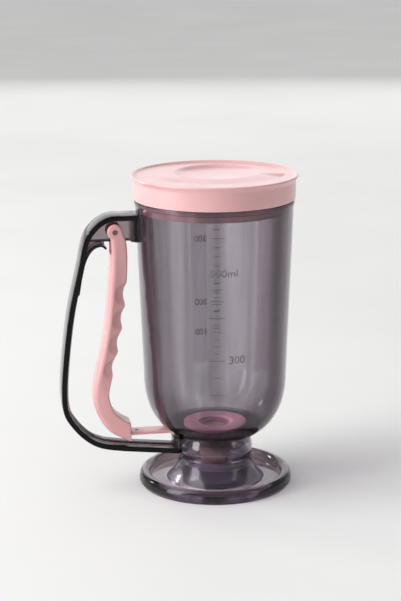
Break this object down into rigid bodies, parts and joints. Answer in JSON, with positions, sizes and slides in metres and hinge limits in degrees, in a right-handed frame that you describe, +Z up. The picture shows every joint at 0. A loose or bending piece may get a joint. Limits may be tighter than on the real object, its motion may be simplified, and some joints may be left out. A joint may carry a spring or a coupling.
{
  "type": "pancake batter dispenser",
  "caption": "Clear smoked batter dispenser with strap handle, squeeze trigger and sliding gate, nozzle, lift-off lid and drip stand.",
  "frame": {"origin": "centre of the stand's flat underside, on the table", "axes": "+Z up along the container's axis; the handle and trigger are on the -X side; +Y across the handle"},
  "size_m": [0.1668, 0.1156, 0.2214],
  "materials": {
    "smoked_plastic": "clear smoked plastic, polished, dark where it is seen edge on",
    "smoked_plastic_dark": "the same clear smoked plastic in thick sections, polished",
    "pink_plastic": "opaque dusty pink plastic, satin",
    "pink_silicone": "opaque dusty pink silicone, soft matt",
    "steel": "plain stainless wire and pin"
  },
  "bodies": {
    "stand": {"stand_base": "smoked_plastic_dark"},
    "dispenser": {"container": "smoked_plastic", "handle_frame": "smoked_plastic_dark", "valve_seat": "pink_silicone", "outlet_seal": "pink_silicone", "nozzle": "pink_silicone", "pivot_pin": "steel", "return_spring": "steel"},
    "trigger": {"trigger_lever": "pink_plastic"},
    "gate": {"gate_slide": "pink_plastic"},
    "lid": {"lid": "pink_plastic"}
  },
  "joints": [
    {"name": "dispenser_lift", "type": "slide", "parent": "stand", "child": "dispenser", "axis": [0, 0, 1], "range_m": [0, 0.06]},
    {"name": "lid_lift", "type": "slide", "parent": "dispenser", "child": "lid", "axis": [0, 0, 1], "range_m": [0, 0.04]},
    {"name": "trigger_squeeze", "type": "hinge", "parent": "dispenser", "child": "trigger", "pos_m": [-0.07008, 0, 0.1843], "axis": [0, 1, 0], "range_deg": [0, 6.1], "stiffness_Nm_per_rad": 0.6, "springref_deg": -8.59, "deforming": ["return_spring"]},
    {"name": "gate_pull", "type": "slide", "parent": "dispenser", "child": "gate", "axis": [-1, 0, 0], "range_m": [0, 0.0155]}
  ],
  "couplings": [
    {"joint": "gate_pull", "follows": "trigger_squeeze", "m_per_rad": 0.14465}
  ]
}
